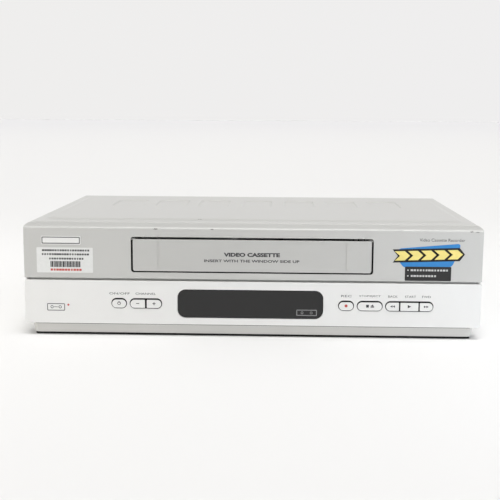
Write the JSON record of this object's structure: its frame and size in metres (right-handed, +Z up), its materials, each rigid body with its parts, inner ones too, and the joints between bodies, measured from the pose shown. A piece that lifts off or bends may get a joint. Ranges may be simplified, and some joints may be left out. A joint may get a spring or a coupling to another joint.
{
  "type": "video cassette recorder",
  "caption": "Front-loading video cassette recorder with hinged cassette door, display window, press keys, tape deck, cassette lift and rear sockets.",
  "frame": {"origin": "under the middle of the case, at the level it stands on", "axes": "+X to the right as seen from the front, +Y to the back, +Z up"},
  "size_m": [0.38, 0.26, 0.095],
  "materials": {
    "grey_tray": "moulded light grey, fine texture",
    "painted_cover": "silver textured paint on sheet steel",
    "silver_front": "moulded plastic with silver paint",
    "bright_panel": "moulded plastic with bright silver paint",
    "smoked_window": "dark smoked and polished",
    "display_glass": "grey glass over a black ground",
    "zinc_sheet": "zinc plated sheet",
    "tinned_can": "tinned screening sheet",
    "drum_alloy": "turned and polished",
    "head_metal": "ground and polished",
    "black_plastic": "moulded black",
    "ivory_plastic": "moulded natural acetal",
    "black_rubber": "matt",
    "green_board": "circuit board lacquer",
    "brown_board": "paper laminate circuit board",
    "dark_ferrite": "ferrite core round a taped winding"
  },
  "bodies": {
    "housing": {"chassis_tray": "grey_tray", "top_cover": "painted_cover", "rear_panel": "zinc_sheet", "foot_front_left": "black_rubber", "foot_front_right": "black_rubber", "foot_rear_left": "black_rubber", "foot_rear_right": "black_rubber", "front_bezel": "silver_front", "control_panel": "bright_panel", "display_window": "smoked_window", "display_tube": "display_glass", "front_board": "brown_board", "deck_plate": "zinc_sheet", "lift_bracket_left": "zinc_sheet", "lift_bracket_right": "zinc_sheet", "drum_base": "drum_alloy", "drum_lower": "drum_alloy", "capstan_motor": "green_board", "reel_belt": "black_rubber", "loading_motor": "zinc_sheet", "erase_head": "head_metal", "sound_head": "head_metal", "power_board": "brown_board", "power_transformer": "dark_ferrite", "mains_inlet": "black_plastic", "signal_board": "green_board", "tuner_can": "tinned_can", "scart_sockets": "black_plastic", "audio_sockets": "black_plastic"},
    "flap": {"cassette_flap": "silver_front"},
    "key_standby": {"key_standby": "bright_panel"},
    "key_channel_down": {"key_channel_down": "bright_panel"},
    "key_channel_up": {"key_channel_up": "bright_panel"},
    "key_record": {"key_record": "bright_panel"},
    "key_stop": {"key_stop": "bright_panel"},
    "key_rewind": {"key_rewind": "bright_panel"},
    "key_play": {"key_play": "bright_panel"},
    "key_forward": {"key_forward": "bright_panel"},
    "lift_sliders": {"lift_slider_left": "ivory_plastic", "lift_slider_right": "ivory_plastic"},
    "holder": {"cassette_holder": "zinc_sheet"},
    "lift_cross_shaft": {"lift_shaft": "ivory_plastic"},
    "head_drum": {"drum_upper": "drum_alloy"},
    "capstan": {"capstan": "head_metal"},
    "idler_pulley": {"idler_pulley": "black_plastic"},
    "idler_arm": {"idler_arm": "zinc_sheet"},
    "idler_wheel": {"idler_wheel": "black_rubber"},
    "supply_reel": {"supply_reel": "black_plastic"},
    "takeup_reel": {"takeup_reel": "black_plastic"},
    "pinch_arm": {"pinch_arm": "black_plastic"},
    "pinch_roller": {"pinch_roller": "black_rubber"},
    "guide_supply": {"guide_carriage_supply": "head_metal"},
    "guide_takeup": {"guide_carriage_takeup": "head_metal"},
    "loading_gear": {"loading_gear": "ivory_plastic"},
    "loading_pinion": {"loading_pinion": "ivory_plastic"}
  },
  "joints": [
    {"name": "flap_hinge", "type": "hinge", "parent": "housing", "child": "flap", "pos_m": [0, -0.1272, 0.0819], "axis": [1, 0, 0], "range_deg": [0, 86], "stiffness_Nm_per_rad": 0.01, "springref_deg": -34.38},
    {"name": "key_standby_press", "type": "slide", "parent": "housing", "child": "key_standby", "axis": [0, 1, 0], "range_m": [0, 0.0006], "stiffness_N_per_m": 600, "springref_m": -0.0005},
    {"name": "key_channel_down_press", "type": "slide", "parent": "housing", "child": "key_channel_down", "axis": [0, 1, 0], "range_m": [0, 0.0006], "stiffness_N_per_m": 600, "springref_m": -0.0005},
    {"name": "key_channel_up_press", "type": "slide", "parent": "housing", "child": "key_channel_up", "axis": [0, 1, 0], "range_m": [0, 0.0006], "stiffness_N_per_m": 600, "springref_m": -0.0005},
    {"name": "key_record_press", "type": "slide", "parent": "housing", "child": "key_record", "axis": [0, 1, 0], "range_m": [0, 0.0006], "stiffness_N_per_m": 600, "springref_m": -0.0005},
    {"name": "key_stop_press", "type": "slide", "parent": "housing", "child": "key_stop", "axis": [0, 1, 0], "range_m": [0, 0.0006], "stiffness_N_per_m": 600, "springref_m": -0.0005},
    {"name": "key_rewind_press", "type": "slide", "parent": "housing", "child": "key_rewind", "axis": [0, 1, 0], "range_m": [0, 0.0006], "stiffness_N_per_m": 600, "springref_m": -0.0005},
    {"name": "key_play_press", "type": "slide", "parent": "housing", "child": "key_play", "axis": [0, 1, 0], "range_m": [0, 0.0006], "stiffness_N_per_m": 600, "springref_m": -0.0005},
    {"name": "key_forward_press", "type": "slide", "parent": "housing", "child": "key_forward", "axis": [0, 1, 0], "range_m": [0, 0.0006], "stiffness_N_per_m": 600, "springref_m": -0.0005},
    {"name": "lift_in", "type": "slide", "parent": "housing", "child": "lift_sliders", "axis": [0, 1, 0], "range_m": [0, 0.068]},
    {"name": "lift_down", "type": "slide", "parent": "lift_sliders", "child": "holder", "axis": [0, 0, -1], "range_m": [0, 0.022]},
    {"name": "lift_shaft_turn", "type": "hinge", "parent": "housing", "child": "lift_cross_shaft", "pos_m": [0, -0.0254, 0.0835], "axis": [1, 0, 0], "range_deg": [0, 650]},
    {"name": "drum_spin", "type": "hinge", "parent": "housing", "child": "head_drum", "pos_m": [0, 0.0506, 0.02949], "axis": [0.1035, 0, 0.9946], "continuous": true},
    {"name": "capstan_spin", "type": "hinge", "parent": "housing", "child": "capstan", "pos_m": [0.068, -0.0014, 0.02], "axis": [0, 0, 1], "continuous": true},
    {"name": "idler_pulley_spin", "type": "hinge", "parent": "housing", "child": "idler_pulley", "pos_m": [0, -0.0774, 0.02], "axis": [0, 0, 1], "continuous": true},
    {"name": "idler_arm_swing", "type": "hinge", "parent": "housing", "child": "idler_arm", "pos_m": [0, -0.0774, 0.022], "axis": [0, 0, 1], "range_deg": [-12.5, 12.5]},
    {"name": "idler_wheel_spin", "type": "hinge", "parent": "idler_arm", "child": "idler_wheel", "pos_m": [0, -0.0501, 0.024], "axis": [0, 0, 1], "continuous": true},
    {"name": "supply_reel_spin", "type": "hinge", "parent": "housing", "child": "supply_reel", "pos_m": [-0.0452, -0.0484, 0.024], "axis": [0, 0, 1], "continuous": true},
    {"name": "takeup_reel_spin", "type": "hinge", "parent": "housing", "child": "takeup_reel", "pos_m": [0.0452, -0.0484, 0.024], "axis": [0, 0, 1], "continuous": true},
    {"name": "pinch_arm_swing", "type": "hinge", "parent": "housing", "child": "pinch_arm", "pos_m": [0.088, 0.0306, 0.024], "axis": [0, 0, 1], "range_deg": [0, 21]},
    {"name": "pinch_roller_spin", "type": "hinge", "parent": "pinch_arm", "child": "pinch_roller", "pos_m": [0.0587, 0.0162, 0.04], "axis": [0, 0, 1], "continuous": true},
    {"name": "loading_gear_turn", "type": "hinge", "parent": "housing", "child": "loading_gear", "pos_m": [-0.075, 0.0566, 0.024], "axis": [0, 0, 1], "range_deg": [0, 150]},
    {"name": "loading_pinion_turn", "type": "hinge", "parent": "housing", "child": "loading_pinion", "pos_m": [-0.075, 0.0316, 0.024], "axis": [0, 0, 1], "range_deg": [-600, 0]},
    {"name": "guide_supply_run", "type": "hinge", "parent": "housing", "child": "guide_supply", "pos_m": [0.07653, 0.04787, 0.024], "axis": [0, 0, 1], "range_deg": [-35.33, 0]},
    {"name": "guide_takeup_run", "type": "hinge", "parent": "housing", "child": "guide_takeup", "pos_m": [-0.07653, 0.04787, 0.024], "axis": [0, 0, 1], "range_deg": [0, 35.33]}
  ],
  "couplings": [
    {"joint": "lift_shaft_turn", "follows": "lift_in", "rad_per_m": 166.67},
    {"joint": "idler_pulley_spin", "follows": "capstan_spin", "ratio": 0.5},
    {"joint": "idler_wheel_spin", "follows": "capstan_spin", "ratio": -0.175},
    {"joint": "loading_pinion_turn", "follows": "loading_gear_turn", "ratio": -4},
    {"joint": "guide_supply_run", "follows": "loading_gear_turn", "ratio": -0.23556},
    {"joint": "guide_takeup_run", "follows": "loading_gear_turn", "ratio": 0.23556}
  ]
}
